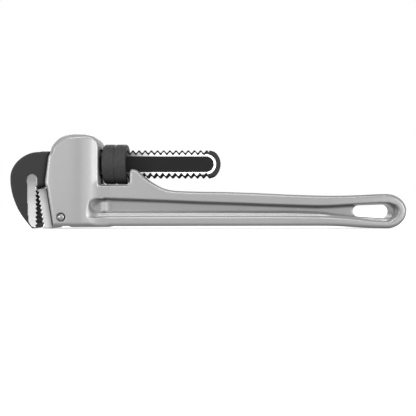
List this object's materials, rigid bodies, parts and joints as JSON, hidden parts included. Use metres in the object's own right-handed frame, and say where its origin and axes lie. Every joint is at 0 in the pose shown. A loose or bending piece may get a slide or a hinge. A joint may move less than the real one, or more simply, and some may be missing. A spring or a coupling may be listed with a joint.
{
  "type": "pipe wrench",
  "caption": "Straight pipe wrench: cast aluminium handle with a toothed heel jaw, and a hook jaw on a threaded shank that a knurled nut moves.",
  "frame": {"origin": "middle of the length and thickness, at the level of the lowest edge, jaws closed", "axes": "+X to the end of the handle, +Y away from the face that shows the pin of the heel jaw, +Z from the open side of the jaws to the crown of the head"},
  "size_m": [0.291, 0.034, 0.0692],
  "materials": {
    "cast_aluminium": "fine sand-cast, matt silver",
    "bright_steel": "ground bright",
    "pin_steel": "turned bright",
    "black_steel": "forged, satin black oxide, ground at the teeth",
    "nut_steel": "knurled, satin black oxide",
    "spring_steel": "tempered steel"
  },
  "bodies": {
    "frame": {"handle": "cast_aluminium", "heel_jaw": "bright_steel", "heel_pin": "pin_steel", "spring_pin": "pin_steel", "coil_spring": "spring_steel"},
    "leaf": {"flat_spring": "spring_steel", "spring_rivet": "pin_steel"},
    "nut": {"adjusting_nut": "nut_steel"},
    "hook": {"hook_jaw": "black_steel"}
  },
  "joints": [
    {"name": "jaw_rock", "type": "hinge", "parent": "frame", "child": "leaf", "pos_m": [-0.084, 0, 0.0342], "axis": [0, -1, 0], "range_deg": [0, 2], "stiffness_Nm_per_rad": 0.8, "springref_deg": -6.88, "deforming": ["coil_spring"]},
    {"name": "nut_spin", "type": "hinge", "parent": "leaf", "child": "nut", "pos_m": [-0.0684, 0, 0.0476], "axis": [1, 0, 0], "range_deg": [0, 4696]},
    {"name": "jaw_slide", "type": "slide", "parent": "leaf", "child": "hook", "axis": [-1, 0, 0], "range_m": [0, 0.06]}
  ],
  "couplings": [
    {"joint": "nut_spin", "follows": "jaw_slide", "rad_per_m": 1365.9}
  ]
}
